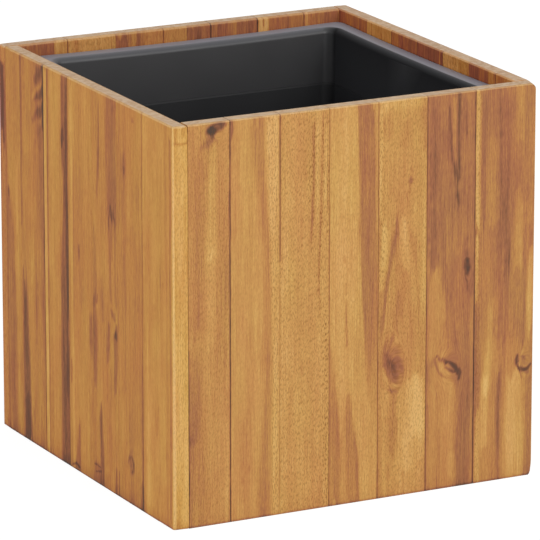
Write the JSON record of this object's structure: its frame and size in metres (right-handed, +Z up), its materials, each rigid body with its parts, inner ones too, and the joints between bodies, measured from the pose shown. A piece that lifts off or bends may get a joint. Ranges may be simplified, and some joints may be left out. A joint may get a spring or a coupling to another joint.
{
  "type": "planter",
  "caption": "Square box planter of upright oiled wood staves on an inner frame of posts and rails, with a dark drafted plastic pot that lifts out of it.",
  "frame": {"origin": "centre of the square underside, on the surface the planter stands on", "axes": "+Z up, the way the pot lifts out; +X to the right along the front wall; +Y from the front wall to the back wall"},
  "size_m": [0.435, 0.435, 0.44],
  "materials": {
    "oiled_stave": "oiled acacia, sanded",
    "frame_batten": "sawn and planed, thinly oiled",
    "pot_plastic": "moulded, fine satin texture",
    "zinc_screw": "zinc plated"
  },
  "bodies": {
    "box": {"front_stave_1": "oiled_stave", "front_stave_2": "oiled_stave", "front_stave_3": "oiled_stave", "front_stave_4": "oiled_stave", "front_stave_5": "oiled_stave", "front_stave_6": "oiled_stave", "front_stave_7": "oiled_stave", "right_stave_1": "oiled_stave", "right_stave_2": "oiled_stave", "right_stave_3": "oiled_stave", "right_stave_4": "oiled_stave", "right_stave_5": "oiled_stave", "right_stave_6": "oiled_stave", "right_stave_7": "oiled_stave", "back_stave_1": "oiled_stave", "back_stave_2": "oiled_stave", "back_stave_3": "oiled_stave", "back_stave_4": "oiled_stave", "back_stave_5": "oiled_stave", "back_stave_6": "oiled_stave", "back_stave_7": "oiled_stave", "left_stave_1": "oiled_stave", "left_stave_2": "oiled_stave", "left_stave_3": "oiled_stave", "left_stave_4": "oiled_stave", "left_stave_5": "oiled_stave", "left_stave_6": "oiled_stave", "left_stave_7": "oiled_stave", "front_top_rail": "frame_batten", "front_bottom_rail": "frame_batten", "right_top_rail": "frame_batten", "right_bottom_rail": "frame_batten", "back_top_rail": "frame_batten", "back_bottom_rail": "frame_batten", "left_top_rail": "frame_batten", "left_bottom_rail": "frame_batten", "front_right_post": "frame_batten", "back_right_post": "frame_batten", "back_left_post": "frame_batten", "front_left_post": "frame_batten", "base_slat_1": "frame_batten", "base_slat_2": "frame_batten", "base_slat_3": "frame_batten", "base_slat_4": "frame_batten", "base_slat_5": "frame_batten", "front_right_screw_lower": "zinc_screw", "front_right_screw_upper": "zinc_screw", "back_right_screw_lower": "zinc_screw", "back_right_screw_upper": "zinc_screw", "back_left_screw_lower": "zinc_screw", "back_left_screw_upper": "zinc_screw", "front_left_screw_lower": "zinc_screw", "front_left_screw_upper": "zinc_screw"},
    "pot": {"inner_pot": "pot_plastic"}
  },
  "joints": [
    {"name": "pot_lift", "type": "slide", "parent": "box", "child": "pot", "axis": [0, 0, 1], "range_m": [0, 0.41]}
  ]
}
